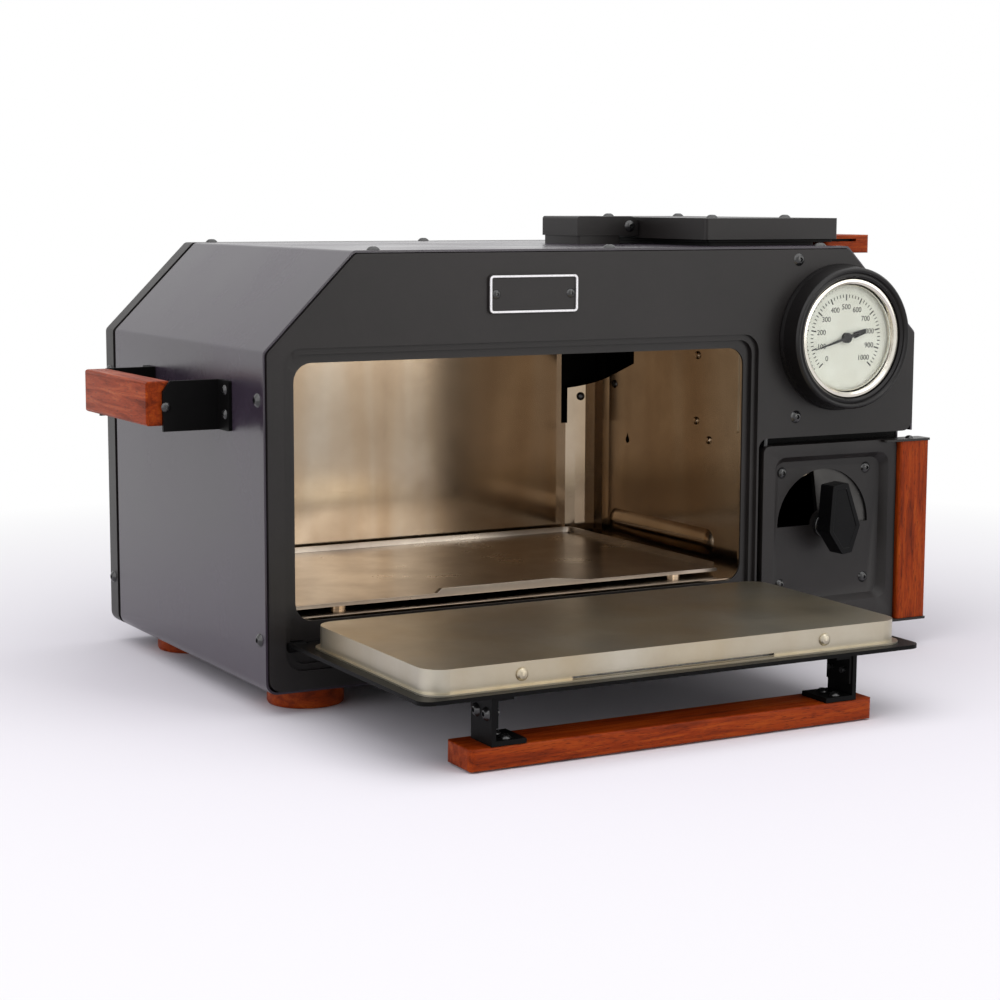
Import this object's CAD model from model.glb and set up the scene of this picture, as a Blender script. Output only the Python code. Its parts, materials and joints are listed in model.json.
# %% [markdown]
# # A wood-fired camp oven
# The sheet-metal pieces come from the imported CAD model. Here they get rounded edges and
# finishes, and a few small things are added: the print on the dial, the border of the bare
# plate and a strip that closes the flue duct. Everything is in metres. X runs to the right,
# Y from the front to the back and Z up from the surface that the oven stands on.

# %% Load the frame
import json
import math

import bmesh
import bpy
from mathutils import Matrix, Vector


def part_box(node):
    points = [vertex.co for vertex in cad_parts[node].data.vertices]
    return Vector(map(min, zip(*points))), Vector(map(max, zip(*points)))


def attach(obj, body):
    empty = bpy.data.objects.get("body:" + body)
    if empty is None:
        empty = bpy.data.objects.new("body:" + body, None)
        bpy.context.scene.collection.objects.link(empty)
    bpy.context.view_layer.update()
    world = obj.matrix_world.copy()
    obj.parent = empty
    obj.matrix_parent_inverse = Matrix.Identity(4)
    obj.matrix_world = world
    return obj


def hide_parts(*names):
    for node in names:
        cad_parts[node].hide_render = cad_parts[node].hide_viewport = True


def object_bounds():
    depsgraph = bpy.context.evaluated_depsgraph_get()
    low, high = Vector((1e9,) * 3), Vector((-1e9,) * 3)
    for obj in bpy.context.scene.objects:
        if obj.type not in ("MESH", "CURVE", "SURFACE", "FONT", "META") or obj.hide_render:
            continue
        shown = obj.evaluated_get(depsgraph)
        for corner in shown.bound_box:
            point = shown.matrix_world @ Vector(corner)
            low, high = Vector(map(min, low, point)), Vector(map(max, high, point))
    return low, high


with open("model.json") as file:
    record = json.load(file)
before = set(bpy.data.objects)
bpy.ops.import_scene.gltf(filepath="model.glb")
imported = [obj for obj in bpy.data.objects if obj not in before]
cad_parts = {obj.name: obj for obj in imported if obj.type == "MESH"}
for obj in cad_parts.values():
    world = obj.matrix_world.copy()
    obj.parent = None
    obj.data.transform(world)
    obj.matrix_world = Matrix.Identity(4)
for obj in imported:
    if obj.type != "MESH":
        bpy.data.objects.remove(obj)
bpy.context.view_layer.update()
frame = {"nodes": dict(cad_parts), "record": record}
nodes = frame["nodes"]
print("CAD nodes:", len(nodes))

# %% [markdown]
# ## Points on the oven
# Measures are easiest to read from the casing's own front left lower corner, in
# millimetres, as one would take them with a rule. The casing is 510 mm wide and stands on
# 14 mm feet. Its front face lies before the middle of the whole, because the open door
# reaches forward, so its place is found from the back of the CAD box, where the casing ends.

# %% Points in millimetres from the casing's corner
casing_width = 510
casing_depth = 290
foot_height = 14
front_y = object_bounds()[1][1] - casing_depth / 1000


def at(x, y, z):
    """A point in metres from millimetres measured at the casing's corner."""
    return Vector(((x - casing_width / 2) / 1000, front_y + y / 1000, (z + foot_height) / 1000))


print("front face at Y =", round(front_y, 4))

# %% [markdown]
# ## Camera
# The view is that of a long lens from the front left, a little above the lid. A camera could
# be aimed with a constraint, but three angles say it more plainly: how far it turns to the
# right, looks down and tips over. They give its own three axes, which fill its matrix.

# %% Camera
turn, down, tip = (math.radians(angle) for angle in (29.1288, 7.6466, 0.188))
ahead = Vector((math.sin(turn) * math.cos(down), math.cos(turn) * math.cos(down), -math.sin(down)))
level = Vector((math.cos(turn), -math.sin(turn), 0))
upward = level.cross(ahead)
right = level * math.cos(tip) + upward * math.sin(tip)
up = upward * math.cos(tip) - level * math.sin(tip)

camera_data = bpy.data.cameras.new("Camera")
camera_data.sensor_width = 36
camera_data.lens = 80.386
camera_data.clip_end = 30
camera = bpy.data.objects.new("Camera", camera_data)
camera.matrix_world = Matrix.Translation(at(-539.023, -1265.131, 308.289)) @ Matrix(
    (right, up, -ahead)).transposed().to_4x4()
bpy.context.scene.collection.objects.link(camera)
bpy.context.scene.camera = camera
print("camera at", [round(v, 3) for v in camera.matrix_world.translation])

# %% [markdown]
# ## Shader nodes in short
# A material is a tree of nodes, and wiring each by hand takes many lines. One helper adds a
# node and sets or links its sockets, and another adds a colour ramp, which turns a noise
# into shades. An input without a clear name is given by its number, as i0 or i1.

# %% Adding nodes


def add(tree, kind, settings=None, **sockets):
    """A node with its settings, and its sockets either set or linked."""
    node = tree.nodes.new(kind)
    for key, value in (settings or {}).items():
        setattr(node, key, value)
    for key, value in sockets.items():
        numbered = key[0] == "i" and key[1:].isdigit()
        socket = node.inputs[int(key[1:]) if numbered else key.replace("_", " ")]
        if isinstance(value, bpy.types.NodeSocket):
            tree.links.new(value, socket)
        else:
            socket.default_value = value
    return node


def ramp(tree, factor, *stops):
    """A colour ramp with stops (position, grey value or colour)."""
    node = add(tree, "ShaderNodeValToRGB", Fac=factor)
    elements = node.color_ramp.elements
    while len(elements) < len(stops):
        elements.new(0.5)
    for element, (place_on_ramp, tone) in zip(elements, stops):
        element.position = place_on_ramp
        element.color = (*tone, 1) if isinstance(tone, tuple) else (tone, tone, tone, 1)
    return node.outputs["Color"]


def object_spot(tree):
    """The point on the piece, which stays put when a body moves."""
    return add(tree, "ShaderNodeTexCoord").outputs["Object"]


print("node helpers: add, ramp, object_spot")

# %% [markdown]
# ## Shared textures
# An effect that several finishes use is a node group, built once. Each group puts out masks
# or heights that change over the surface, and the material decides what to do with them.

# %% Starting a group


def new_group(name, inputs, outputs):
    """A node group with inputs {name: default} and value outputs; gives its two ends too."""
    group = bpy.data.node_groups.new(name, "ShaderNodeTree")
    for key, value in inputs.items():
        kind = "NodeSocketVector" if isinstance(value, tuple) else "NodeSocketFloat"
        socket = group.interface.new_socket(key, in_out="INPUT", socket_type=kind)
        socket.default_value = value
    for key in outputs:
        group.interface.new_socket(key, in_out="OUTPUT", socket_type="NodeSocketFloat")
    return group, group.nodes.new("NodeGroupInput"), group.nodes.new("NodeGroupOutput")


def stretched(tree, spot, factors):
    """The point with each axis multiplied, so that a noise is drawn out along the least."""
    return add(tree, "ShaderNodeVectorMath", {"operation": "MULTIPLY"},
               i0=spot, i1=factors).outputs[0]


print("group helpers: new_group, stretched")

# %% [markdown]
# ### Powder coat
# Powder coat melts into a skin with a fine orange-peel texture. One noise alone looks like
# sand, so two are summed, with grains of about 0.4 mm and 2 mm, for its height. A slow third
# noise gives the faint clouds in its shade.

# %% Powder coat texture
coat_group, g_in, g_out = new_group("Powder texture", {"Grain": 2600.0, "Cloud": 14.0},
                                    ["Height", "Shade"])
spot = object_spot(coat_group)
fine = add(coat_group, "ShaderNodeTexNoise", Vector=spot, Scale=g_in.outputs["Grain"], Detail=2.0)
peel = add(coat_group, "ShaderNodeTexNoise", Vector=spot, Scale=520.0, Detail=1.0)
cloud = add(coat_group, "ShaderNodeTexNoise", Vector=spot, Scale=g_in.outputs["Cloud"], Detail=5.0)
for output, base, extra, weight in (("Height", fine, peel, 0.5), ("Shade", cloud, fine, 0.35)):
    summed = add(coat_group, "ShaderNodeMath", {"operation": "MULTIPLY_ADD"},
                 i0=extra.outputs["Fac"], i1=weight, i2=base.outputs["Fac"])
    coat_group.links.new(summed.outputs[0], g_out.inputs[output])
print("group:", coat_group.name, len(coat_group.nodes), "nodes")

# %% [markdown]
# ### Brushed sheet
# Rolled and brushed steel has lines many times longer than they are wide. A noise that is
# stretched along one direction gives them without any picture, and the direction is an
# input, because each sheet was brushed along its own length. Two slower noises give the
# smudges of handling and the broad upright bands that heat leaves.

# %% Brushed steel texture
brush_group, g_in, g_out = new_group(
    "Brushed lines", {"Stretch": (1.0, 60.0, 60.0), "Fineness": 60.0},
    ["Height", "Smudge", "Heat"])
spot = object_spot(brush_group)
lines = add(brush_group, "ShaderNodeTexNoise",
            Vector=stretched(brush_group, spot, g_in.outputs["Stretch"]),
            Scale=g_in.outputs["Fineness"], Detail=4.0, Roughness=0.65)
smudge = add(brush_group, "ShaderNodeTexNoise", Vector=spot, Scale=22.0, Detail=6.0,
             Roughness=0.6)
heat = add(brush_group, "ShaderNodeTexNoise",
           Vector=stretched(brush_group, spot, (11.0, 11.0, 1.6)),
           Scale=1.0, Detail=3.0, Roughness=0.55, Distortion=0.4)
for output, noise in (("Height", lines), ("Smudge", smudge), ("Heat", heat)):
    brush_group.links.new(noise.outputs["Fac"], g_out.inputs[output])
print("group:", brush_group.name, len(brush_group.nodes), "nodes")

# %% [markdown]
# ### Wood grain
# The grips are a reddish hardwood, oiled. Long bands follow the length of the piece, with
# short dark pores between them. Rings would need a cut through the trunk, and these sticks
# are too slim to show one, so two noises stretched along the grain do it.

# %% Wood texture
grain_group, g_in, g_out = new_group(
    "Wood grain", {"Stretch": (1.0, 12.0, 12.0), "Bands": 16.0}, ["Bands", "Pores"])
drawn = stretched(grain_group, object_spot(grain_group), g_in.outputs["Stretch"])
bands = add(grain_group, "ShaderNodeTexNoise", Vector=drawn, Scale=g_in.outputs["Bands"],
            Detail=6.0, Roughness=0.62, Distortion=0.7)
pores = add(grain_group, "ShaderNodeTexNoise", Vector=drawn, Scale=190.0, Detail=2.0,
            Roughness=0.5)
grain_group.links.new(bands.outputs["Fac"], g_out.inputs["Bands"])
pore_mask = ramp(grain_group, pores.outputs["Fac"], (0.32, 0.0), (0.44, 1.0))
grain_group.links.new(pore_mask, g_out.inputs["Pores"])
print("group:", grain_group.name, len(grain_group.nodes), "nodes")

# %% [markdown]
# ## Finishes
# Each material keeps its own Principled shader. A number that is the same all over is set on
# the shader, and only what varies over the surface is linked, because an exported model
# keeps the first and bakes the second.

# %% Starting a material


def new_material(name, **sockets):
    """A material with a Principled shader, its fixed values set on the sockets."""
    material = bpy.data.materials.new(name)
    material.use_nodes = True
    tree = material.node_tree
    shader = tree.nodes["Principled BSDF"]
    for key, value in sockets.items():
        shader.inputs[key.replace("_", " ")].default_value = value
    return material, tree, shader


def use_group(tree, group, **values):
    """Places a shared group in a material with its own values."""
    node = tree.nodes.new("ShaderNodeGroup")
    node.node_tree = group
    for key, value in values.items():
        node.inputs[key].default_value = value
    return node


def bump(tree, shader, height, strength, distance):
    """Feeds a height into the shader's normal; the distance is the relief in metres."""
    node = add(tree, "ShaderNodeBump", Height=height, Strength=strength, Distance=distance)
    tree.links.new(node.outputs["Normal"], shader.inputs["Normal"])


print("material helpers: new_material, use_group, bump")

# %% [markdown]
# ### Coats and blackened steel
# The front, the casing and the black ironwork are all coated, and differ in shade, gloss and
# grain. So one function makes them, with a base colour near black. The casing's coat is the
# shiniest and has a lilac tinge. The heat-proof black of the brackets hardly reflects.

# %% Coats


def coated(name, dark, light, rough, grain=2600.0, relief=0.35, gloss=0.5):
    """A powder coat between two shades; gloss is how much it reflects seen straight on."""
    material, tree, shader = new_material(name, Roughness=rough, IOR=1.5,
                                          Specular_IOR_Level=gloss)
    texture = use_group(tree, coat_group, Grain=grain)
    color = ramp(tree, texture.outputs["Shade"], (0.45, dark), (0.95, light))
    tree.links.new(color, shader.inputs["Base Color"])
    tone = ramp(tree, texture.outputs["Shade"], (0.4, rough - 0.06), (0.95, rough + 0.08))
    tree.links.new(tone, shader.inputs["Roughness"])
    bump(tree, shader, texture.outputs["Height"], relief, 0.0001)
    return material


charcoal = coated("Charcoal coat", (0.008, 0.007, 0.0066), (0.020, 0.0175, 0.017), 0.36,
                  gloss=0.26)
side_coat = coated("Side coat", (0.020, 0.014, 0.023), (0.036, 0.027, 0.040), 0.23)
stove_black = coated("Heat-proof black", (0.0015, 0.0014, 0.0014), (0.0035, 0.0034, 0.0034), 0.42,
                     gloss=0.07)
screw_black = coated("Blackened steel", (0.004, 0.004, 0.004), (0.014, 0.014, 0.014), 0.20,
                     grain=900.0, relief=0.12, gloss=0.65)
housing_black = coated("Turned black housing", (0.004, 0.0035, 0.0035), (0.009, 0.008, 0.008),
                       0.30, grain=1800.0, relief=0.1, gloss=0.25)
knob_black = coated("Cast knob", (0.002, 0.002, 0.0022), (0.005, 0.005, 0.0055), 0.30,
                    grain=1500.0, relief=0.2, gloss=0.10)
iron = coated("Burnt iron", (0.014, 0.013, 0.012), (0.040, 0.034, 0.029), 0.72,
              grain=700.0, relief=0.8, gloss=0.3)
pointer_black = coated("Pointer enamel", (0.006, 0.006, 0.006), (0.010, 0.010, 0.010), 0.4,
                       gloss=0.2)
print("coats:", charcoal.name, "and seven more")

# %% [markdown]
# ### Stainless sheets
# The baking chamber, the door's inner box and the tray are brushed stainless. Plain grey
# metal would look like new plate, so a smudge mask moves between a clean and a worn tint,
# and heat colours lie over it in broad bands. In the chamber the shader is anisotropic: level
# brushing draws each reflection out upright, as the fine scratches of a real sheet do.

# %% Steels


def stainless(name, tint, shadow, rough, stretch, fineness=60.0, relief=0.1, streak=0.0,
              heat_colors=()):
    """Brushed stainless between a clean tint and a darker, smudged one. A streak above 0
    draws reflections out upright. The heat colours darken it in broad upright bands."""
    material, tree, shader = new_material(name, Metallic=1.0, Anisotropic=streak)
    if streak:
        along = add(tree, "ShaderNodeTangent", {"direction_type": "RADIAL", "axis": "Z"})
        tree.links.new(along.outputs["Tangent"], shader.inputs["Tangent"])
    texture = use_group(tree, brush_group, Stretch=stretch, Fineness=fineness)
    color = ramp(tree, texture.outputs["Smudge"], (0.25, shadow), (0.70, tint))
    if heat_colors:
        baked = ramp(tree, texture.outputs["Heat"], *heat_colors)
        color = add(tree, "ShaderNodeMixRGB", {"blend_type": "MULTIPLY"}, Fac=1.0,
                    Color1=color, Color2=baked).outputs[0]
    tree.links.new(color, shader.inputs["Base Color"])
    tone = ramp(tree, texture.outputs["Smudge"], (0.25, rough + 0.05), (0.75, rough - 0.03))
    tree.links.new(tone, shader.inputs["Roughness"])
    bump(tree, shader, texture.outputs["Height"], relief, 0.0004)
    return material


chamber_steel = stainless(
    "Chamber steel", (0.50, 0.43, 0.35), (0.40, 0.33, 0.26), 0.15, (1.0, 1.0, 40.0),
    relief=0.03, streak=0.65,
    heat_colors=((0.34, (0.62, 0.52, 0.42)), (0.47, (0.78, 0.69, 0.58)), (0.62, (0.92, 0.92, 0.90))))
door_steel = stainless(
    "Door steel", (0.56, 0.53, 0.45), (0.46, 0.42, 0.34), 0.33, (1.0, 9.0, 9.0),
    fineness=140.0, relief=0.004,
    heat_colors=((0.36, (0.79, 0.72, 0.61)), (0.54, (0.83, 0.80, 0.75)), (0.70, (0.88, 0.88, 0.87))))
tray_steel = stainless("Tray steel", (0.44, 0.39, 0.33), (0.30, 0.25, 0.21), 0.28,
                       (30.0, 30.0, 30.0), fineness=30.0, relief=0.02)
plate_steel = stainless("Flap steel", (0.075, 0.073, 0.070), (0.035, 0.034, 0.033), 0.42,
                        (8.0, 8.0, 1.0), fineness=140.0, relief=0.03)
bezel_steel = stainless("Bezel steel", (0.78, 0.75, 0.68), (0.62, 0.58, 0.50), 0.16,
                        (8.0, 8.0, 8.0), relief=0.03)
print("steels:", chamber_steel.name, "and four more")

# %% [markdown]
# ### Wood
# Oil darkens the pores and leaves a low sheen. The colour runs over three browns along the
# bands, the pores are multiplied over it, and the bands also steer the roughness, because
# dense late wood takes less oil. A grip lies along X, Y or Z, so there are three woods.

# %% Woods
deep_brown, mid_brown, light_brown = (0.095, 0.011, 0.001), (0.25, 0.031, 0.002), (0.40, 0.074, 0.006)


def wooden(name, stretch):
    """Oiled reddish hardwood with its grain along the least stretched axis."""
    material, tree, shader = new_material(name, Roughness=0.42, IOR=1.45,
                                          Specular_IOR_Level=0.13)
    texture = use_group(tree, grain_group, Stretch=stretch)
    color = ramp(tree, texture.outputs["Bands"], (0.28, deep_brown), (0.5, mid_brown),
                 (0.74, light_brown))
    shaded = add(tree, "ShaderNodeMixRGB", {"blend_type": "MULTIPLY"}, Fac=0.55,
                 Color1=color, Color2=texture.outputs["Pores"])
    tree.links.new(shaded.outputs[0], shader.inputs["Base Color"])
    tone = ramp(tree, texture.outputs["Bands"], (0.3, 0.52), (0.7, 0.36))
    tree.links.new(tone, shader.inputs["Roughness"])
    bump(tree, shader, texture.outputs["Pores"], 0.25, 0.0002)
    return material


wood_x = wooden("Wood along X", (1.0, 12.0, 12.0))
wood_y = wooden("Wood along Y", (12.0, 1.0, 12.0))
wood_z = wooden("Wood along Z", (12.0, 12.0, 1.0))
print("woods:", wood_x.name, wood_y.name, wood_z.name, sep=", ")

# %% [markdown]
# ### Fibre, enamel, print and glass
# Four small surfaces are left. Blanket, dial and print only drift between two shades, so one
# function with one noise makes them, and the blanket gets a bump for its strands. The glass
# is flat and clear, with a low index, so that it hardly mirrors the room.

# %% Small finishes


def mottled(name, scale, detail, *stops, **sockets):
    """A surface whose shade drifts between the stops; gives the noise for a bump too."""
    material, tree, shader = new_material(name, **sockets)
    noise = add(tree, "ShaderNodeTexNoise", Vector=object_spot(tree), Scale=scale,
                Detail=detail).outputs["Fac"]
    tree.links.new(ramp(tree, noise, *stops), shader.inputs["Base Color"])
    return material, tree, shader, noise


fibre, tree, shader, strands = mottled(
    "Ceramic fibre", 420.0, 4.0, (0.3, (0.55, 0.52, 0.46)), (0.7, (0.80, 0.77, 0.70)),
    Roughness=0.95, Sheen_Weight=0.2)
bump(tree, shader, strands, 0.6, 0.001)
dial_enamel = mottled("Dial enamel", 60.0, 5.0, (0.3, (0.66, 0.66, 0.57)),
                      (0.75, (0.76, 0.77, 0.69)), Roughness=0.5)[0]
white_print = mottled("White print", 900.0, 3.0, (0.25, 0.62), (0.5, 0.86), Roughness=0.45)[0]
dial_glass = new_material("Clear glass", Roughness=0.0, IOR=1.2, Transmission_Weight=1.0,
                          Base_Color=(0.97, 0.98, 0.97, 1))[0]
print("small finishes:", fibre.name, dial_enamel.name, white_print.name, dial_glass.name, sep=", ")

# %% [markdown]
# ## Dressing the CAD pieces
# Every node of the CAD model gets its finish. A node's mesh stays as it is, and only its
# material slot is filled. The table reads from finish to nodes, because few finishes serve
# many pieces, and it is turned round for the lookup.

# %% Finish of each node
finish_of = {
    charcoal: "front_pan back_pan lid_pan lid_hinge_block firebox_door name_plate",
    side_coat: "wrapper",
    stove_black: "rear_frame base_pan hinge_brackets hinge_rod door_plate plate_angles "
                 "bar_brackets firebox_shell firebox_front flue_duct feed_collar feed_chute "
                 "lid_plate left_brackets right_brackets",
    screw_black: "case_screws front_screws duct_screws bar_bolts firebox_pins "
                 "firebox_door_screws firebox_grip_screws damper_shaft lid_screws "
                 "lid_pivot_screw handle_screws foot_screws",
    chamber_steel: "oven_liner liner_patch liner_rivets tray_runners ash_pan "
                   "firebox_door_shield",
    door_steel: "door_box door_rivets",
    tray_steel: "tray",
    plate_steel: "damper_plate",
    bezel_steel: "gauge_bezel gauge_stem",
    iron: "fire_grate",
    fibre: "insulation door_filling",
    wood_x: "door_bar lid_grip feet",
    wood_y: "left_grip right_grip",
    wood_z: "firebox_grip",
    knob_black: "damper_knob",
    housing_black: "gauge_housing",
    dial_enamel: "gauge_dial",
    pointer_black: "gauge_pointer",
    dial_glass: "gauge_glass",
}
node_finish = {name: material for material, names in finish_of.items() for name in names.split()}
for name, node in nodes.items():
    node.data.materials.clear()
    node.data.materials.append(node_finish[name])
print("finished nodes:", len(node_finish), "of", len(nodes))

# %% [markdown]
# ## From a mesh to a piece
# A new piece starts as a bmesh. It becomes an object at the origin with its place in its
# mesh, is smooth except at its edges, and rides on a body, so that it moves with its joint.

# %% Placing a piece
smooth_below = 35


def place(bm, label, body, material, smooth=smooth_below):
    """Makes a piece from a bmesh and lets it ride on a body."""
    mesh = bpy.data.meshes.new(label)
    bm.to_mesh(mesh)
    bm.free()
    mesh.materials.append(material)
    piece = bpy.data.objects.new(label, mesh)
    bpy.context.scene.collection.objects.link(piece)
    mesh.shade_smooth()
    mesh.set_sharp_from_angle(angle=math.radians(smooth))
    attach(piece, body)
    return piece


print("edges sharper than", smooth_below, "degrees stay sharp")

# %% [markdown]
# ## Rounded edges
# A folded sheet or a planed grip has no knife edge, and the small round is what catches the
# light. Rounds in the CAD solids would cost many faces in its checks, so they are made here.
# A node's mesh is loose triangles: a copy is merged, its flat faces are joined, and a bevel
# modifier rounds what is left of its edges. The copy then stands for the node.

# %% Rounding a node
body_of = {name: body for body, members in
           frame["record"]["behaviour"]["bodies"].items() for name in members}
round_above = 40
round_segments = 2


def merged_copy(name):
    """A bmesh of a node with its doubles merged and its flat faces joined."""
    bm = bmesh.new()
    bm.from_mesh(nodes[name].data)
    bmesh.ops.remove_doubles(bm, verts=bm.verts, dist=1e-6)
    bmesh.ops.dissolve_limit(bm, angle_limit=math.radians(0.5), verts=bm.verts, edges=bm.edges)
    return bm


def rounded(name, width):
    """A piece with the node's shape and edges rounded by a width in millimetres."""
    piece = place(merged_copy(name), name + "_soft", body_of[name],
                  node_finish[name], smooth=30)
    bevel = piece.modifiers.new("Round", "BEVEL")
    bevel.width = width / 1000
    bevel.segments = round_segments
    bevel.limit_method = "ANGLE"
    bevel.angle_limit = math.radians(round_above)
    bevel.harden_normals = True
    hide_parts(name)
    return piece


print("bodies:", len(set(body_of.values())), "with", len(body_of), "nodes")

# %% [markdown]
# ### How round each piece is
# Thin sheet has a fold of a few tenths of a millimetre, the drawn box of the door over 2 mm,
# and the firebox door's grip is the most rounded of the wood. Screws, rivets and turned
# pieces already have their shape from the CAD model.

# %% Edge widths in millimetres
edge_width = {
    "front_pan": 0.7, "back_pan": 0.7, "wrapper": 0.35, "lid_pan": 1.1,
    "lid_hinge_block": 0.8, "firebox_door": 0.5, "door_plate": 0.5, "door_box": 2.2,
    "bar_brackets": 0.4, "plate_angles": 0.3, "left_brackets": 0.4, "right_brackets": 0.4,
    "door_bar": 0.6, "left_grip": 0.6, "right_grip": 0.6, "firebox_grip": 2.0,
    "lid_grip": 0.6, "damper_knob": 0.9, "damper_plate": 0.25, "lid_plate": 0.3,
    "tray": 0.3, "fire_grate": 0.5,
}
for name, width in edge_width.items():
    rounded(name, width)
print("rounded pieces:", len(edge_width))

# %% [markdown]
# ## Dial
# The dial is cream enamel, printed in black. Print could be a texture, but small flat solids
# stay crisp at any distance and export as they are. Strokes stand on a circle from the lower
# left over the top to the lower right, and every fifth is a long one.

# %% Strokes of the dial
print_gap = 0.00012
stroke_end = 0.0305
stroke_kinds = {True: (0.0262, 0.0009), False: (0.0282, 0.0006)}  # long or not: start, width
first_angle, last_angle, steps, steps_a_number = 222, -42, 50, 5

dial_low, dial_high = (Vector(corner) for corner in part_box("gauge_dial"))
dial_center = Vector(((dial_low.x + dial_high.x) / 2, dial_low.y, (dial_low.z + dial_high.z) / 2))
face_y = dial_center.y - print_gap


def dial_angle(step):
    """The angle of a step, counted from the right and anticlockwise, in degrees."""
    return first_angle + (last_angle - first_angle) * step / steps


def on_dial(angle, radius):
    """A point just before the dial's face."""
    a = math.radians(angle)
    return Vector((dial_center.x + radius * math.cos(a), face_y,
                   dial_center.z + radius * math.sin(a)))


def stroke(bm, angle, inner, outer, width):
    """A flat stroke from one radius to another."""
    a = math.radians(angle)
    across = Vector((-math.sin(a), 0, math.cos(a))) * width / 2
    ends = [on_dial(angle, inner) - across, on_dial(angle, inner) + across,
            on_dial(angle, outer) + across, on_dial(angle, outer) - across]
    bmesh.ops.contextual_create(bm, geom=[bm.verts.new(end) for end in ends])


bm = bmesh.new()
for step in range(steps + 1):
    start, width = stroke_kinds[step % steps_a_number == 0]
    stroke(bm, dial_angle(step), start, stroke_end, width)
bmesh.ops.recalc_face_normals(bm, faces=bm.faces)
bmesh.ops.solidify(bm, geom=bm.faces[:], thickness=-0.00004)
place(bm, "dial_strokes", "stove_body", pointer_black)
print("dial centre:", [round(v, 4) for v in dial_center], "strokes:", steps + 1)

# %% [markdown]
# ### Numbers
# Plain numbers follow the long strokes, from 0 to 1000. Blender's own font makes each one as
# a text, which is turned into a mesh before its place is applied, because a piece's object
# has to sit at the origin.

# %% Numbers of the dial
number_radius = 0.0216
number_size = 0.0052


def number(label, angle):
    """A bmesh of a plain number on the dial."""
    text = bpy.data.curves.new("dial_" + label, "FONT")
    text.body = label
    text.size = number_size
    text.align_x = "CENTER"
    text.align_y = "CENTER"
    text.extrude = 0.00003
    carrier = bpy.data.objects.new("dial_" + label, text)
    bpy.context.scene.collection.objects.link(carrier)
    bpy.context.view_layer.update()
    mesh = bpy.data.meshes.new_from_object(carrier)
    bpy.data.objects.remove(carrier)
    mesh.transform(Matrix.Translation(on_dial(angle, number_radius)) @
                   Matrix.Rotation(math.radians(90), 4, "X"))
    bm = bmesh.new()
    bm.from_mesh(mesh)
    return bm


for index in range(steps // steps_a_number + 1):
    bm = number(str(100 * index), dial_angle(index * steps_a_number))
    place(bm, "dial_number_" + str(index), "stove_body", pointer_black)
print("numbers:", steps // steps_a_number + 1)

# %% [markdown]
# ## Border of the bare plate
# The plate above the door has a raised white line near its edge. A curve with a profile
# could draw it, but its flat top is simpler as a face: a rectangle with rounded corners is
# inset by the line's width, its middle is deleted, and the ring that is left is lifted.

# %% Border
edge_margin = 0.0012
corner_round = 0.0026
line_width = 0.0013
line_height = 0.0007

plate_low, plate_high = (Vector(corner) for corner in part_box("name_plate"))
plate_middle = (plate_low + plate_high) / 2
plate_size = plate_high - plate_low
bm = bmesh.new()
bmesh.ops.create_grid(bm, x_segments=1, y_segments=1, size=0.5)
bmesh.ops.scale(bm, verts=bm.verts,
                vec=(plate_size.x - edge_margin, plate_size.z - edge_margin, 1))
bmesh.ops.bevel(bm, geom=bm.verts[:], offset=corner_round, segments=5, profile=0.5,
                affect="VERTICES", material=-1)
ring = bmesh.ops.inset_region(bm, faces=bm.faces[:], thickness=line_width, use_boundary=True,
                              use_even_offset=True)
inner = [face for face in bm.faces if face not in ring["faces"]]
bmesh.ops.delete(bm, geom=inner, context="FACES")
lifted = bmesh.ops.extrude_face_region(bm, geom=bm.faces[:])
top_verts = [part for part in lifted["geom"] if isinstance(part, bmesh.types.BMVert)]
bmesh.ops.translate(bm, verts=top_verts, vec=(0, 0, line_height))
bmesh.ops.rotate(bm, verts=bm.verts, cent=(0, 0, 0),
                 matrix=Matrix.Rotation(math.radians(90), 3, "X"))
bmesh.ops.translate(bm, verts=bm.verts, vec=(plate_middle.x, plate_low.y, plate_middle.z))
bmesh.ops.recalc_face_normals(bm, faces=bm.faces)
border_faces = len(bm.faces)
place(bm, "plate_border", "stove_body", white_print)
print("border faces:", border_faces)

# %% [markdown]
# ## Closing strip of the flue duct
# Behind the firebox the duct is open on one side for 9 mm, and light would fall through it
# into the chamber, where a bright line would show in the port. On a real oven the sheets
# would overlap there. Here a thin strip of the same black steel closes it, and a cube that
# is scaled between two corners is enough, because only its face is ever seen.

# %% Strip
low, high = at(388.3, 235.6, 131.0), at(389.1, 244.4, 210.0)
bm = bmesh.new()
bmesh.ops.create_cube(bm, size=1)
bmesh.ops.scale(bm, verts=bm.verts, vec=high - low)
bmesh.ops.translate(bm, verts=bm.verts, vec=(low + high) / 2)
place(bm, "duct_strip", "stove_body", stove_black)
print("strip size in mm:", [round(1000 * v, 1) for v in high - low])

# %% [markdown]
# ## Floor
# The oven stands on a pale, faintly lilac surface that runs out into white. More light would
# wash out the shadow and the oven with it, so the white is mixed in by distance instead, and
# only for what the camera sees, directly, in metal or through glass.

# %% Floor
floor_half = 12
fade_scale = 0.5
fade_start, fade_end = 0.16, 0.48

floor_mesh = bpy.data.meshes.new("Floor")
bm = bmesh.new()
bmesh.ops.create_grid(bm, x_segments=1, y_segments=1, size=floor_half)
bm.to_mesh(floor_mesh)
bm.free()
floor = bpy.data.objects.new("Floor", floor_mesh)
bpy.context.scene.collection.objects.link(floor)


def seen_as_backdrop(tree):
    """1 for what the camera sees, directly, in metal or through glass, and 0 for light."""
    path = add(tree, "ShaderNodeLightPath")
    direct = add(tree, "ShaderNodeMath", {"operation": "MAXIMUM"},
                 i0=path.outputs["Is Camera Ray"], i1=path.outputs["Is Glossy Ray"])
    either = add(tree, "ShaderNodeMath", {"operation": "MAXIMUM"},
                 i0=direct.outputs[0], i1=path.outputs["Is Transmission Ray"])
    return either.outputs[0]


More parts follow.
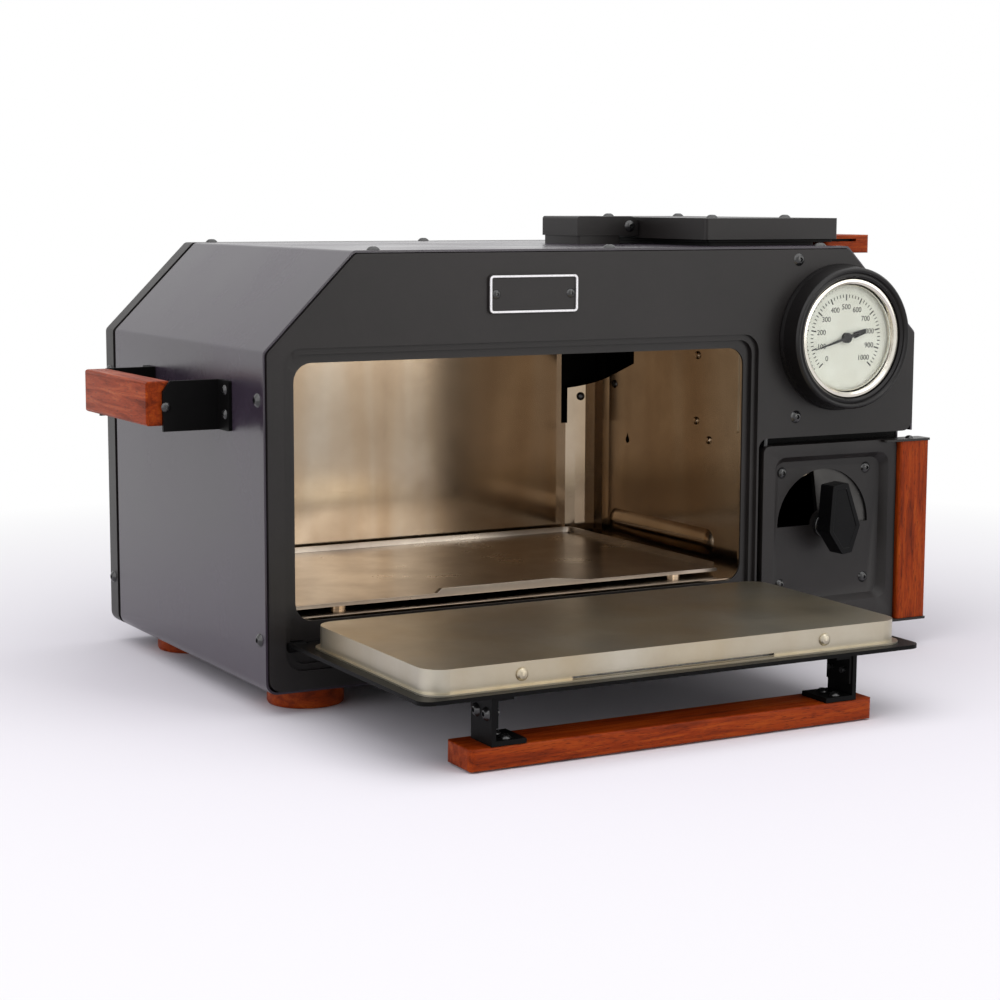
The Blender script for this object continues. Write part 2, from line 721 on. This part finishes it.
floor_paint, tree, shader = new_material("Floor", Roughness=0.9, Specular_IOR_Level=0.1,
                                         Base_Color=(0.80, 0.78, 0.82, 1))
distance = add(tree, "ShaderNodeVectorMath", {"operation": "LENGTH"}, i0=object_spot(tree))
scaled = add(tree, "ShaderNodeMath", {"operation": "MULTIPLY"},
             i0=distance.outputs["Value"], i1=fade_scale)
fade = ramp(tree, scaled.outputs[0], (fade_start, 0.0), (fade_end, 1.0))
share = add(tree, "ShaderNodeMath", {"operation": "MULTIPLY"}, i0=fade,
            i1=seen_as_backdrop(tree))
white = add(tree, "ShaderNodeEmission", Color=(1, 1, 1, 1), Strength=1.0)
cover = add(tree, "ShaderNodeMixShader", Fac=share.outputs[0], i1=shader.outputs[0],
            i2=white.outputs[0])
tree.links.new(cover.outputs[0], tree.nodes["Material Output"].inputs["Surface"])
floor_mesh.materials.append(floor_paint)
print("floor: all white from", round(fade_end / fade_scale, 2), "m outwards")

# %% [markdown]
# ## World
# The pale room gives the soft light from all round. What the camera and the shiny pieces see
# of it is plain white, at a strength of 1, while the light that it sheds is weaker.

# %% World
world = bpy.data.worlds.new("World")
bpy.context.scene.world = world
world.use_nodes = True
tree = world.node_tree
tree.nodes.clear()
glow = add(tree, "ShaderNodeBackground", Color=(0.95, 0.94, 1.0, 1), Strength=0.46)
backdrop = add(tree, "ShaderNodeBackground", Color=(1, 1, 1, 1), Strength=1.0)
mix = add(tree, "ShaderNodeMixShader", Fac=seen_as_backdrop(tree), i1=glow.outputs[0],
          i2=backdrop.outputs[0])
add(tree, "ShaderNodeOutputWorld", Surface=mix.outputs[0])
print("world:", len(tree.nodes), "nodes")

# %% [markdown]
# ## Lamps
# Large soft lamps stand round the oven as in a studio tent: one to the left, one above, a
# weaker one to the right, and a narrow upright strip whose reflection draws bright lines on
# the steel. They are wide, because a small lamp would show as a burnt spot in the metal.

# %% Lamps


def lamp(name, position, target, size, power, color=(1, 1, 1)):
    """A soft lamp with its place and target in millimetres of the casing."""
    light = bpy.data.lights.new(name, "AREA")
    light.shape = "RECTANGLE"
    light.size, light.size_y = size
    light.energy = power
    light.color = color
    holder = bpy.data.objects.new(name, light)
    bpy.context.scene.collection.objects.link(holder)
    stand, aim = at(*position), at(*target)
    holder.matrix_world = Matrix.Translation(stand) @ \
        (aim - stand).to_track_quat("-Z", "Y").to_matrix().to_4x4()
    return holder


warm_white = (1.0, 0.98, 0.95)
lamps = [
    lamp("Left tent", (-1500, -300, 900), (100, 100, 120), (2.2, 2.2), 17, (1.0, 0.97, 1.0)),
    lamp("Top tent", (200, -200, 1700), (250, 100, 0), (2.8, 2.2), 24),
    lamp("Right fill", (1900, -1700, 700), (300, 0, 120), (1.8, 1.8), 12, warm_white),
    lamp("Strip", (830, -1500, 800), (200, 0, 150), (0.25, 1.5), 4, warm_white),
]
print("lamps:", len(lamps), "with", sum(holder.data.energy for holder in lamps), "W in all")

# %% [markdown]
# ## Hand over
# The view transform is plain, so that colours render about as they are written. The
# model's box before and after dressing goes to a small file, to be compared.

# %% Finish
bpy.context.scene.view_settings.view_transform = "Standard"
